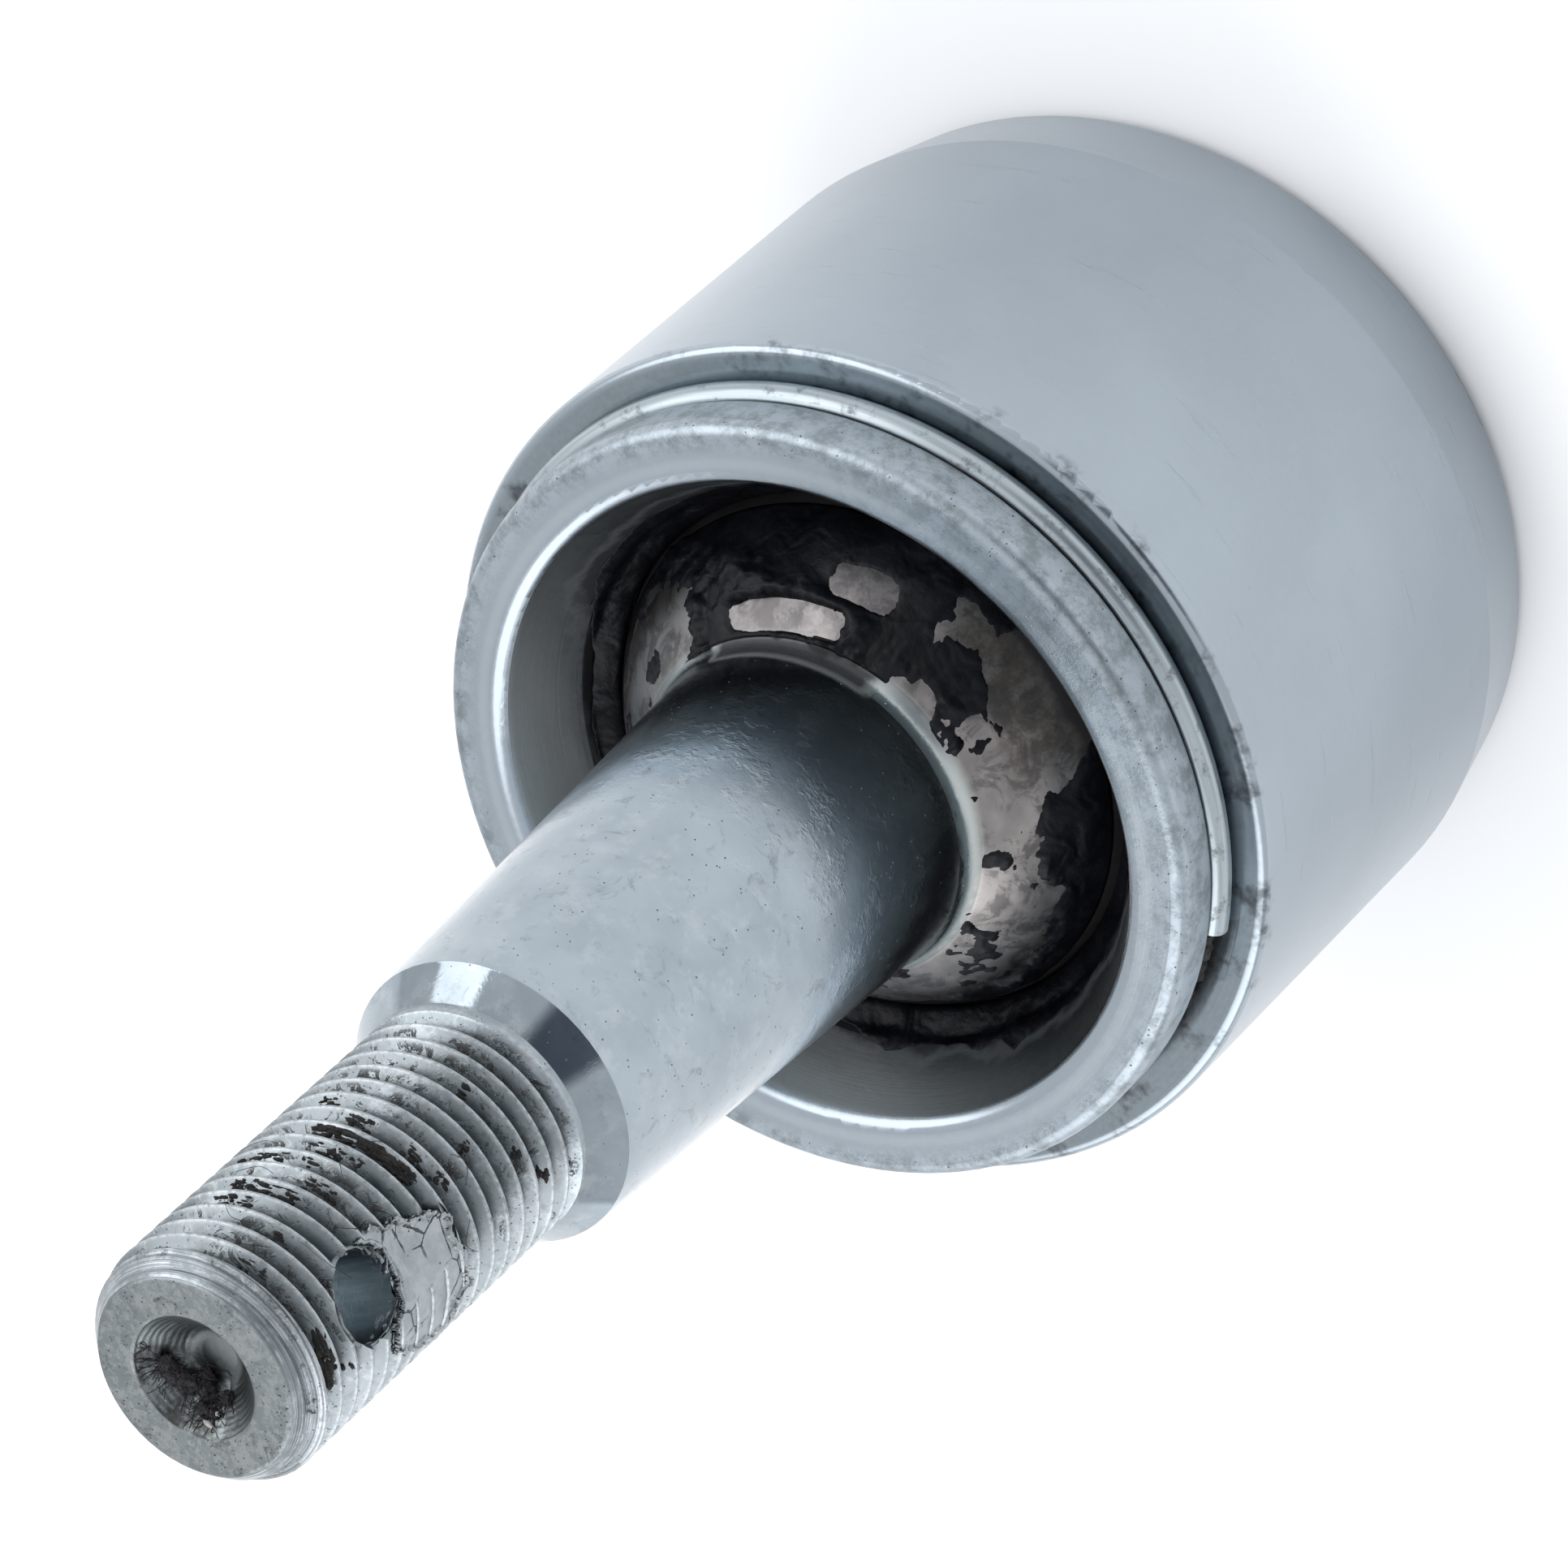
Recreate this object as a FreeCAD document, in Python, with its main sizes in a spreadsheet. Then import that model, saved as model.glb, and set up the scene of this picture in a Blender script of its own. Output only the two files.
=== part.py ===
"""Press-in ball joint: a threaded, tapered ball stud held in a round steel cartridge.

Millimetres. The origin is the centre of the ball. +Z runs along the housing's axis and out
of its mouth. The stud stands upright along +Z.
"""
import FreeCAD, Part
import math
import os
import Sketcher

# Driving sizes. Radii are measured from the axis and levels from the centre of the ball.
SIZES = {
    # housing, outside, from the mouth down to the rolled back edge
    "body_radius": 22.0,
    "lip_radius": 20.0,
    "lip_top": 12.2,
    "lip_bottom": 9.6,
    "lip_round": 0.7,
    "groove_radius": 18.95,
    "shoulder_level": 7.8,
    "shoulder_round": 0.5,
    "lead_top": -15.5,
    "lead_radius": 20.9,
    "back_level": -21.4,
    "back_round": 1.2,
    # housing, inside
    "mouth_radius": 17.1,
    "mouth_round": 0.8,
    "throat_radius": 15.0,
    "throat_level": 8.0,
    "bore_radius": 18.2,
    "flange_level": 5.1,
    "rim_level": -20.3,
    "rim_radius": 16.4,
    # ball and seats
    "ball_radius": 15.0,
    "ball_clearance": 0.06,
    "seat_radius": 18.15,
    "upper_seat_top": 5.05,
    "seat_split": 0.25,
    "lower_seat_bottom": -15.6,
    "seat_hole_radius": 5.0,
    # stud
    "neck_level": 12.28,
    "neck_round": 1.5,
    "shank_top": 40.8,
    "shank_top_radius": 7.2,
    "thread_bottom": 42.4,
    "thread_radius": 5.95,
    "thread_pitch": 1.25,
    "thread_root_radius": 5.2,
    "tip_level": 65.3,
    "tip_chamfer_radius": 4.9,
    "tip_chamfer_height": 1.3,
    "tip_round": 0.25,
    "centre_radius": 3.15,
    "centre_depth": 2.1,
    "centre_floor_radius": 1.3,
    "centre_round": 0.9,
    "centre_rim_round": 0.2,
    "cotter_radius": 2.1,
    "cotter_level": 59.1,
    "cotter_sink_radius": 2.7,
    "cotter_turn": 205.0,
    "crush_offset": 3.4,
    "crush_radius": 3.0,
    "crush_depth": 0.62,
    "crush_rise": 0.45,
    # disc spring and closing plug
    "spring_outer": 16.5,
    "spring_inner": 7.5,
    "spring_thickness": 1.0,
    "spring_top": -15.65,
    "spring_bottom": -17.55,
    "plug_radius": 18.1,
    "plug_top": -17.6,
    "plug_bottom": -20.15,
    "plug_boss_radius": 9.0,
    "plug_boss_bottom": -20.8,
    # open wire ring in the boot groove, turned about the axis from +X
    "wire_radius": 0.75,
    "ring_radius": 19.75,
    "ring_level": 8.62,
    "ring_span": 310.0,
    "ring_start": -147.0,
    # grease
    "grease_gap": 0.1,
    "collar_top": 6.4,
    "pocket_radius": 4.8,
    "pocket_bottom": -17.4,
}

# Sizes that follow from the driving ones.
DERIVED = {
    "seat_ball_radius": "ball_radius + ball_clearance",
    "upper_seat_bottom": "seat_split",
    "lower_seat_top": "0 - seat_split",
    "neck_radius": "sqrt(ball_radius ^ 2 - neck_level ^ 2)",
    "tip_chamfer_level": "tip_level - tip_chamfer_height",
    "centre_bottom": "tip_level - centre_depth",
    "spring_inner_bottom": "spring_top - spring_thickness",
    "spring_outer_top": "spring_bottom + spring_thickness",
    "grease_ball_radius": "ball_radius + grease_gap",
    "collar_radius": "throat_radius - grease_gap / 2",
    "collar_bottom": "flange_level + grease_gap / 4",
    "pocket_top": "0 - ball_radius - grease_gap",
    "cotter_clear": "thread_radius + 1",
    "cotter_clear_radius": "cotter_sink_radius + 1",
    "cotter_sink_start": "thread_radius - (cotter_sink_radius - cotter_radius)",
    "cotter_top": "cotter_level + cotter_radius",
    "cotter_clear_top": "cotter_level + cotter_clear_radius",
    "crush_level": "cotter_level - crush_offset",
    "crush_floor": "thread_radius - crush_depth",
    "crush_edge": "thread_radius - crush_depth + crush_rise",
    "crush_top": "cotter_level - crush_offset + crush_radius",
    "thread_half_mouth": "thread_pitch * 0.475",
    "thread_half_root": "thread_pitch * 0.0625",
    "thread_mouth_radius": "thread_radius + 0.05",
    "thread_start": "thread_bottom + thread_pitch * 0.55",
    "thread_run": "tip_level - thread_start + thread_pitch",
}

# How far an edge may be from where it is looked for.
EDGE_TOLERANCE = 1e-3

ROLES = {"XZ": "XZ_Plane", "YZ": "YZ_Plane", "Z": "Z_Axis"}

doc = FreeCAD.newDocument("BallJoint")


def make_sheet():
    """Put every size in the spreadsheet, one row each, under its own alias."""
    sheet = doc.addObject("Spreadsheet::Sheet", "Sizes")
    cells = {alias: str(value) for alias, value in SIZES.items()}
    cells.update({alias: f"={formula}" for alias, formula in DERIVED.items()})
    for row, (alias, text) in enumerate(cells.items(), start=1):
        sheet.set(f"A{row}", alias)
        sheet.set(f"B{row}", text)
        sheet.setAlias(f"B{row}", alias)
    doc.recompute()
    return sheet


sheet = make_sheet()


def size(alias):
    """Read a size from the sheet; an empty alias is the axis or the ball's own level."""
    return float(sheet.get(alias)) if alias else 0.0


def origin_part(body, key):
    """Return the body's own origin plane or axis."""
    return next(item for item in body.Origin.OriginFeatures if item.Role == ROLES[key])


def new_body(name):
    """Start a body labelled with the sub-part's name."""
    body = doc.addObject("PartDesign::Body", name)
    body.Label = name
    return body


def new_sketch(body, plane, name):
    """Attach a new sketch to one of the body's origin planes."""
    sketch = body.newObject("Sketcher::SketchObject", name)
    sketch.AttachmentSupport = (origin_part(body, plane), [""])
    sketch.MapMode = "FlatFace"
    return sketch


def bind(sketch, constraint, alias):
    """Add a dimension whose value comes from the sheet."""
    index = sketch.addConstraint(constraint)
    sketch.setExpression(f"Constraints[{index}]", f"Sizes.{alias}")


def hold(sketch, side, vertex, alias, kind):
    """Hold one coordinate of a point at a size, or on the axis where the alias is empty."""
    if alias:
        bind(sketch, Sketcher.Constraint(kind, -1, 1, side, vertex, size(alias)), alias)
    else:
        axis = -2 if kind == "DistanceX" else -1
        sketch.addConstraint(Sketcher.Constraint("PointOnObject", side, vertex, axis))


def corner_point(corner, ball):
    """Place a corner; a missing radius or level is where it meets the circle round the ball."""
    radius, level = corner
    if radius is None:
        return FreeCAD.Vector(math.sqrt(size(ball) ** 2 - size(level) ** 2), size(level), 0)
    if level is None:
        return FreeCAD.Vector(size(radius), -math.sqrt(size(ball) ** 2 - size(radius) ** 2), 0)
    return FreeCAD.Vector(size(radius), size(level), 0)


def draw_outline(sketch, corners, round_side=None, ball=None):
    """Draw a closed half profile through corners given as (radius, level) aliases.

    Side round_side, counted from the first corner, is an arc about the ball's centre with
    the radius named by ball. Corners run anticlockwise where that side bulges outwards.
    """
    points = [corner_point(corner, ball) for corner in corners]
    sides = []
    for index, first in enumerate(points):
        last = points[(index + 1) % len(points)]
        if index != round_side:
            sides.append((sketch.addGeometry(Part.LineSegment(first, last)), 1, 2))
            continue
        angles = [math.atan2(point.y, point.x) for point in (first, last)]
        circle = Part.Circle(FreeCAD.Vector(0, 0, 0), FreeCAD.Vector(0, 0, 1), size(ball))
        arc = sketch.addGeometry(Part.ArcOfCircle(circle, min(angles), max(angles)))
        sketch.addConstraint(Sketcher.Constraint("Coincident", arc, 3, -1, 1))
        bind(sketch, Sketcher.Constraint("Radius", arc, size(ball)), ball)
        sides.append((arc, 1, 2) if angles[0] < angles[1] else (arc, 2, 1))
    for (side, _, end), (other, start, _) in zip(sides, sides[1:] + sides[:1]):
        sketch.addConstraint(Sketcher.Constraint("Coincident", side, end, other, start))
    for (side, start, _), (radius, level) in zip(sides, corners):
        if radius is not None:
            hold(sketch, side, start, radius, "DistanceX")
        if level is not None:
            hold(sketch, side, start, level, "DistanceY")


def turn(body, corners, round_side=None, ball=None):
    """Turn a half profile about Z into the body's first solid."""
    sketch = new_sketch(body, "XZ", f"{body.Name}_profile")
    draw_outline(sketch, corners, round_side, ball)
    feature = body.newObject("PartDesign::Revolution", f"{body.Name}_turned")
    feature.Profile = sketch
    feature.ReferenceAxis = (origin_part(body, "Z"), [""])
    feature.Angle = 360.0
    doc.recompute()
    return feature


def ring_edges(feature, radius, level):
    """Name the round edges of a feature at this radius and level."""
    names = []
    for index, edge in enumerate(feature.Shape.Edges, start=1):
        if edge.Degenerated or not isinstance(edge.Curve, Part.Circle):
            continue
        circle = edge.Curve
        if math.hypot(circle.Radius - radius, circle.Center.z - level) < EDGE_TOLERANCE:
            names.append(f"Edge{index}")
    return names


def round_off(body, rounds):
    """Fillet the round edges given as (radius, level, fillet radius) aliases, in turn."""
    for number, (radius, level, fillet_radius) in enumerate(rounds, start=1):
        base = body.Tip
        fillet = body.newObject("PartDesign::Fillet", f"{body.Name}_round_{number}")
        fillet.Base = (base, ring_edges(base, size(radius), size(level)))
        fillet.setExpression("Radius", f"Sizes.{fillet_radius}")
        doc.recompute()


def make_housing():
    """Steel cartridge: conical mouth, lip and boot groove, plain body, rolled-in back edge."""
    body = new_body("housing")
    turn(body, [
        ("rim_radius", "back_level"),
        ("lead_radius", "back_level"),
        ("body_radius", "lead_top"),
        ("body_radius", "shoulder_level"),
        ("groove_radius", "shoulder_level"),
        ("groove_radius", "lip_bottom"),
        ("lip_radius", "lip_bottom"),
        ("lip_radius", "lip_top"),
        ("mouth_radius", "lip_top"),
        ("throat_radius", "throat_level"),
        ("throat_radius", "flange_level"),
        ("bore_radius", "flange_level"),
        ("bore_radius", "rim_level"),
        ("rim_radius", "rim_level"),
    ])
    round_off(body, [
        ("lead_radius", "back_level", "back_round"),
        ("body_radius", "shoulder_level", "shoulder_round"),
        ("lip_radius", "lip_top", "lip_round"),
        ("mouth_radius", "lip_top", "mouth_round"),
    ])
    return body


def cut_thread(body):
    """Cut the helical thread groove with a V whose root is narrow and flat."""
    sketch = new_sketch(body, "XZ", "thread_section")
    half_mouth = size("thread_half_mouth")
    half_root = size("thread_half_root")
    level = size("thread_start")
    outer = size("thread_mouth_radius")
    root = size("thread_root_radius")
    corners = [
        FreeCAD.Vector(outer, level - half_mouth, 0),
        FreeCAD.Vector(outer, level + half_mouth, 0),
        FreeCAD.Vector(root, level + half_root, 0),
        FreeCAD.Vector(root, level - half_root, 0),
    ]
    for first, last in zip(corners, corners[1:] + corners[:1]):
        sketch.addGeometry(Part.LineSegment(first, last))
    for side in range(4):
        sketch.addConstraint(Sketcher.Constraint("Coincident", side, 2, (side + 1) % 4, 1))
    sketch.addConstraint(Sketcher.Constraint("Vertical", 0))
    sketch.addConstraint(Sketcher.Constraint("Vertical", 2))
    bind(sketch, Sketcher.Constraint("DistanceX", -1, 1, 0, 1, outer), "thread_mouth_radius")
    bind(sketch, Sketcher.Constraint("DistanceX", -1, 1, 2, 1, root), "thread_root_radius")
    for side, vertex, offset in ((0, 1, "- Sizes.thread_half_mouth"), (0, 2, "+ Sizes.thread_half_mouth"),
                                 (2, 1, "+ Sizes.thread_half_root"), (2, 2, "- Sizes.thread_half_root")):
        index = sketch.addConstraint(Sketcher.Constraint("DistanceY", -1, 1, side, vertex, level))
        sketch.setExpression(f"Constraints[{index}]", f"Sizes.thread_start {offset}")
    helix = body.newObject("PartDesign::SubtractiveHelix", "thread")
    helix.Profile = sketch
    helix.ReferenceAxis = (origin_part(body, "Z"), [""])
    helix.Mode = "pitch-height-angle"
    helix.setExpression("Pitch", "Sizes.thread_pitch")
    helix.setExpression("Height", "Sizes.thread_run")
    doc.recompute()


def cut_across(body, name, corners):
    """Turn a section on the YZ plane about its first side and take it out of the stud."""
    sketch = new_sketch(body, "YZ", name + "_section")
    points = [
        FreeCAD.Vector(float(across[0] + "1") * size(across[1:]), size(level), 0)
        for across, level in corners
    ]
    for first, last in zip(points, points[1:] + points[:1]):
        sketch.addGeometry(Part.LineSegment(first, last))
    for side, (across, level) in enumerate(corners):
        following = (side + 1) % len(corners)
        sketch.addConstraint(Sketcher.Constraint("Coincident", side, 2, following, 1))
        for kind, value, text in (
            ("DistanceX", points[side].x, f"{across[0].replace('+', '')}Sizes.{across[1:]}"),
            ("DistanceY", points[side].y, f"Sizes.{level}"),
        ):
            index = sketch.addConstraint(Sketcher.Constraint(kind, -1, 1, side, 1, value))
            sketch.setExpression(f"Constraints[{index}]", text)
    axis = sketch.addGeometry(Part.LineSegment(points[0], points[1]), True)
    for vertex in (1, 2):
        sketch.addConstraint(Sketcher.Constraint("Coincident", axis, vertex, 0, vertex))
    groove = body.newObject("PartDesign::Groove", name)
    groove.Profile = sketch
    groove.ReferenceAxis = (sketch, ["Axis0"])
    groove.Angle = 360.0
    doc.recompute()


def drill_cotter_hole(body):
    """Split-pin hole, countersunk at both ends, and the crushed thread beside its mouth."""
    cut_across(body, "crushed_thread", [
        ("+crush_floor", "crush_level"),
        ("+cotter_clear", "crush_level"),
        ("+cotter_clear", "crush_top"),
        ("+crush_edge", "crush_top"),
    ])
    cut_across(body, "cotter_hole", [
        ("-cotter_clear", "cotter_level"),
        ("+cotter_clear", "cotter_level"),
        ("+cotter_clear", "cotter_clear_top"),
        ("+cotter_sink_start", "cotter_top"),
        ("-cotter_sink_start", "cotter_top"),
        ("-cotter_clear", "cotter_clear_top"),
    ])


def make_ball_stud():
    """Forged stud: ball, 1:10 taper, shoulder, thread with a split-pin hole, centred tip."""
    body = new_body("ball_stud")
    turn(body, [
        ("", None),
        (None, "neck_level"),
        ("shank_top_radius", "shank_top"),
        ("thread_radius", "thread_bottom"),
        ("thread_radius", "tip_chamfer_level"),
        ("tip_chamfer_radius", "tip_level"),
        ("centre_radius", "tip_level"),
        ("centre_floor_radius", "centre_bottom"),
        ("", "centre_bottom"),
    ], round_side=0, ball="ball_radius")
    round_off(body, [
        ("neck_radius", "neck_level", "neck_round"),
        ("tip_chamfer_radius", "tip_level", "tip_round"),
        ("centre_radius", "tip_level", "centre_rim_round"),
        ("centre_floor_radius", "centre_bottom", "centre_round"),
    ])
    drill_cotter_hole(body)
    cut_thread(body)
    turned = FreeCAD.Rotation(FreeCAD.Vector(0, 0, 1), -size("cotter_turn"))
    body.Placement = FreeCAD.Placement(FreeCAD.Vector(), turned)
    return body


def make_upper_race():
    """Seat ring that the ball's upper half bears on, under the throat flange."""
    body = new_body("upper_race")
    turn(body, [
        (None, "upper_seat_bottom"),
        ("seat_radius", "upper_seat_bottom"),
        ("seat_radius", "upper_seat_top"),
        (None, "upper_seat_top"),
    ], round_side=3, ball="seat_ball_radius")
    return body


def make_lower_race():
    """Seat cup under the ball, open at its pole."""
    body = new_body("lower_race")
    turn(body, [
        ("seat_hole_radius", "lower_seat_bottom"),
        ("seat_radius", "lower_seat_bottom"),
        ("seat_radius", "lower_seat_top"),
        (None, "lower_seat_top"),
        ("seat_hole_radius", None),
    ], round_side=3, ball="seat_ball_radius")
    return body


def make_preload_spring():
    """Disc spring that presses the lower race up against the ball."""
    body = new_body("preload_spring")
    turn(body, [
        ("spring_inner", "spring_inner_bottom"),
        ("spring_outer", "spring_bottom"),
        ("spring_outer", "spring_outer_top"),
        ("spring_inner", "spring_top"),
    ])
    return body


def make_end_plug():
    """Closing plate held by the rolled-in edge, with a raised middle."""
    body = new_body("end_plug")
    turn(body, [
        ("", "plug_boss_bottom"),
        ("plug_boss_radius", "plug_boss_bottom"),
        ("plug_boss_radius", "plug_bottom"),
        ("plug_radius", "plug_bottom"),
        ("plug_radius", "plug_top"),
        ("", "plug_top"),
    ])
    return body


def make_boot_ring():
    """Open ring of round spring wire in the boot groove."""
    ring = doc.addObject("Part::Torus", "boot_ring")
    ring.Label = "boot_ring"
    ring.setExpression("Radius1", "Sizes.ring_radius")
    ring.setExpression("Radius2", "Sizes.wire_radius")
    ring.setExpression("Angle3", "Sizes.ring_span")
    start = FreeCAD.Rotation(FreeCAD.Vector(0, 0, 1), size("ring_start"))
    ring.Placement = FreeCAD.Placement(FreeCAD.Vector(0, 0, size("ring_level")), start)
    return ring


def make_grease_collar():
    """Grease that has crept up between the ball and the throat."""
    body = new_body("grease_collar")
    turn(body, [
        (None, "collar_bottom"),
        ("collar_radius", "collar_bottom"),
        ("collar_radius", "collar_top"),
        (None, "collar_top"),
    ], round_side=3, ball="grease_ball_radius")
    return body


def make_grease_pocket():
    """Grease store under the ball, in the hole of the lower race and the disc spring."""
    body = new_body("grease_pocket")
    turn(body, [
        ("", "pocket_bottom"),
        ("pocket_radius", "pocket_bottom"),
        ("pocket_radius", None),
        ("", None),
    ], round_side=2, ball="grease_ball_radius")
    return body


def write_parts(parts):
    """Check every object and every shape, then write one STEP file for each sub-part."""
    doc.recompute()
    for item in doc.Objects:
        if {"Invalid", "Error"} & set(item.State):
            raise RuntimeError(f"{item.Label} did not build: {item.State}")
    os.makedirs("parts", exist_ok=True)
    for part in parts:
        shape = part.Shape
        if shape.isNull() or not shape.isValid() or len(shape.Solids) != 1:
            raise RuntimeError(f"{part.Label} is not one valid solid")
        shape.exportStep(f"parts/{part.Label}.step")
        print(f"{part.Label}: {shape.Volume:.1f} mm3")


write_parts([
    make_housing(),
    make_ball_stud(),
    make_upper_race(),
    make_lower_race(),
    make_preload_spring(),
    make_end_plug(),
    make_boot_ring(),
    make_grease_collar(),
    make_grease_pocket(),
])
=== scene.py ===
import math
import random

import bpy
from mathutils import Matrix, Vector, noise


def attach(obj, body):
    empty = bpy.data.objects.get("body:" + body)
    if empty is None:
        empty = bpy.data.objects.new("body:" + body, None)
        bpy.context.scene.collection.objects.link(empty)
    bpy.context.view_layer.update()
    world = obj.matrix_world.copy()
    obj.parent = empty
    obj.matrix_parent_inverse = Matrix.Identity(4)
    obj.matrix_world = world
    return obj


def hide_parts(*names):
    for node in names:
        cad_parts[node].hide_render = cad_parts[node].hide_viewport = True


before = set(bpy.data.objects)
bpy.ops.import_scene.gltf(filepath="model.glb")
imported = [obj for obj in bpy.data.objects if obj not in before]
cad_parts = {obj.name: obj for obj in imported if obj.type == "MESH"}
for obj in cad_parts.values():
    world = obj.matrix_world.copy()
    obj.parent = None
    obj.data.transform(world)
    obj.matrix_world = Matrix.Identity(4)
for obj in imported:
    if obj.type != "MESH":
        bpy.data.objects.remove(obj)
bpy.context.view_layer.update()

MM = 0.001

# Radii and levels in millimetres from the ball's centre. Azimuths are degrees about +Z from +X.
# Cartridge: body, back face, boot groove with its shoulder, lip, mouth, throat and its flange.
BODY_R, BACK_Z, SHOULDER_Z = 22.0, -21.4, 7.8
LIP_R, LIP_TOP, LIP_BOTTOM, GROOVE_R = 20.0, 12.2, 9.6, 18.95
LIP_RIDGE_R = 18.0
MOUTH_R, THROAT_R, THROAT_Z, FLANGE_Z = 17.1, 15.0, 8.0, 5.1

# Stud: ball and the neck on it, shank, thread with its shallow root, tip and its centre recess.
BALL_R, BALL_TOP, NECK_R = 15.0, 12.3, 8.6
SHANK_TOP, THREAD_BOTTOM, THREAD_R, ROOT_R = 40.8, 42.4, 5.95, 5.2
PITCH, FIRST_ROOT, THREAD_START, THREAD_MIDDLE_R = 1.25, 43.09, 155.0, 5.5
TIP_Z, TIP_FACE_R, RECESS_R, RECESS_DEPTH = 65.3, 4.9, 3.15, 2.1
RECESS_SLOPE = 1.135

# Split-pin hole, its burr, and the land of crushed thread beside it.
PIN_HOLE_Z, PIN_HOLE_R, PIN_HOLE_SIDE = 59.1, 2.1, -115.0
BURR_R = 5.52
CRUSH_Z, CRUSH_FLOOR, CRUSH_RISE, CRUSH_R = 55.7, 5.33, 0.45, 3.0
LAND_R, LAND_SIDE, LAND_Z, LAND_HALF_TURN, LAND_HALF_HEIGHT = 5.86, -131.0, 55.5, 38.0, 3.2
LAND_LOW, LAND_HIGH, LAND_MM_PER_DEGREE = 52.7, 58.4, 0.098

# Grease: on the ball between two angles from the stud's axis, and the ring in the throat.
GREASE_TOP, GREASE_FOOT = 36.6, 63.0
COLLAR_R, COLLAR_Z, COLLAR_HALF, COLLAR_FOOT, COLLAR_GAP = 14.4, 5.9, 0.8, 5.16, 0.12
STUD_TILT = 25.0
SEAT_EDGE = 69.0
GREASE_FILM, GREASE_HEAP, GREASE_SINK, ISLAND_EDGE = 0.035, 0.62, 0.12, 0.045


class Wire:
    """One output socket of a material's nodes. Arithmetic on it adds Math nodes."""

    def __init__(self, tree, socket=None):
        self.tree, self.socket = tree, socket

    def node(self, kind, settings, sockets, output=0):
        """Adds one node: its settings first, then the values or links of its sockets."""
        made = self.tree.nodes.new("ShaderNode" + kind)
        for name, value in settings.items():
            setattr(made, name, value)
        for key, value in sockets.items():
            if isinstance(value, Wire):
                self.tree.links.new(value.socket, made.inputs[key])
            else:
                made.inputs[key].default_value = value
        return Wire(self.tree, made.outputs[output])

    def math(self, operation, *values):
        """Adds a Math node on numbers or wires."""
        return self.node("Math", {"operation": operation}, dict(enumerate(values)))

    def __add__(self, other):
        return self.math("ADD", self, other)

    def __radd__(self, other):
        return self.math("ADD", other, self)

    def __sub__(self, other):
        return self.math("SUBTRACT", self, other)

    def __rsub__(self, other):
        return self.math("SUBTRACT", other, self)

    def __mul__(self, other):
        return self.math("MULTIPLY", self, other)

    def __rmul__(self, other):
        return self.math("MULTIPLY", other, self)

    def __truediv__(self, other):
        return self.math("DIVIDE", self, other)

    def root(self):
        return self.math("SQRT", self)

    def greatest(self, other):
        return self.math("MAXIMUM", self, other)

    def rise(self, low, high):
        """0 below low, 1 above high and a smooth step between them."""
        return self.node(
            "MapRange",
            {"interpolation_type": "SMOOTHSTEP"},
            {0: self, 1: low, 2: high, 3: 0.0, 4: 1.0},
        )

    def fall(self, low, high):
        """1 below low, 0 above high and a smooth step between them."""
        return 1 - self.rise(low, high)

    def between(self, low, high, soft):
        """1 from low to high, fading over soft at both ends."""
        return self.rise(low - soft, low + soft) * self.fall(high - soft, high + soft)

    def mix(self, colour_a, colour_b):
        """colour_a where this mask is 0 and colour_b where it is 1."""
        return self.node(
            "Mix", {"data_type": "RGBA"}, {0: self, 6: colour_a, 7: colour_b}, output=2
        )


def tint(red, green, blue):
    return (red, green, blue, 1.0)


class Finish:
    """One material in the making: where a point is on the object, and its patterns."""

    def __init__(self, name):
        self.material = bpy.data.materials.new(name)
        self.material.use_nodes = True
        tree = self.material.node_tree
        tree.nodes.clear()
        self.wire = Wire(tree)
        spot = self.wire.node("TexCoord", {}, {}, output="Object")
        self.place = self.stretch(spot, (1 / MM, 1 / MM, 1 / MM))
        self.x, self.y, self.z = [
            self.wire.node("SeparateXYZ", {}, {0: self.place}, output=i) for i in range(3)
        ]
        self.radius = (self.x * self.x + self.y * self.y).root()
        self.reach = self.wire.node(
            "VectorMath", {"operation": "LENGTH"}, {0: self.place}, output="Value"
        )
        self.azimuth = self.x.math("ARCTAN2", self.y, self.x) * math.degrees(1.0)

    def stretch(self, vector, factors):
        """Multiplies a vector's parts, each by its own factor."""
        return self.wire.node(
            "VectorMath", {"operation": "MULTIPLY"}, {0: vector, 1: factors}
        )

    def join(self, x, y, z):
        return self.wire.node("CombineXYZ", {}, {0: x, 1: y, 2: z})

    def noise(self, scale, detail=3.0, roughness=0.55, distortion=0.0, at=None):
        return self.wire.node(
            "TexNoise",
            {},
            {
                "Vector": at or self.place,
                "Scale": scale,
                "Detail": detail,
                "Roughness": roughness,
                "Distortion": distortion,
            },
        )

    def specks(self, scale, size, share, at=None):
        """1 inside small ragged spots: scale per mm, their size and how many cells have one."""
        place = at or self.place
        spot = self.wire.node("TexVoronoi", {}, {"Vector": place, "Scale": scale})
        chance = self.noise(scale * 0.37, 1.0, at=place)
        ragged = self.noise(scale * 3.1, 2.0, at=place) * (size * 0.9)
        return (spot + ragged).fall(size, size * 1.5) * chance.rise(1 - share, 1.04 - share)

    def rings(self, across, per_mm):
        """Fine tool lines that follow a level or a radius."""
        swirl = self.join(across * per_mm, self.azimuth * 0.006, 0.0)
        return self.noise(1.0, 2.0, 0.6, at=swirl)

    def bump(self, height, distance_mm):
        sockets = {"Height": height, "Distance": distance_mm * MM, "Strength": 1.0}
        return self.wire.node("Bump", {}, sockets)

    def close(self, colour, roughness, metallic, normal=None, fixed=None):
        """Ends the material in one Principled shader."""
        sockets = {"Base Color": colour, "Roughness": roughness, "Metallic": metallic}
        if normal is not None:
            sockets["Normal"] = normal
        sockets.update(fixed or {})
        shader = self.wire.node("BsdfPrincipled", {}, sockets)
        self.wire.tree.links.new(
            shader.socket,
            self.wire.tree.nodes.new("ShaderNodeOutputMaterial").inputs["Surface"],
        )
        return self.material


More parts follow.
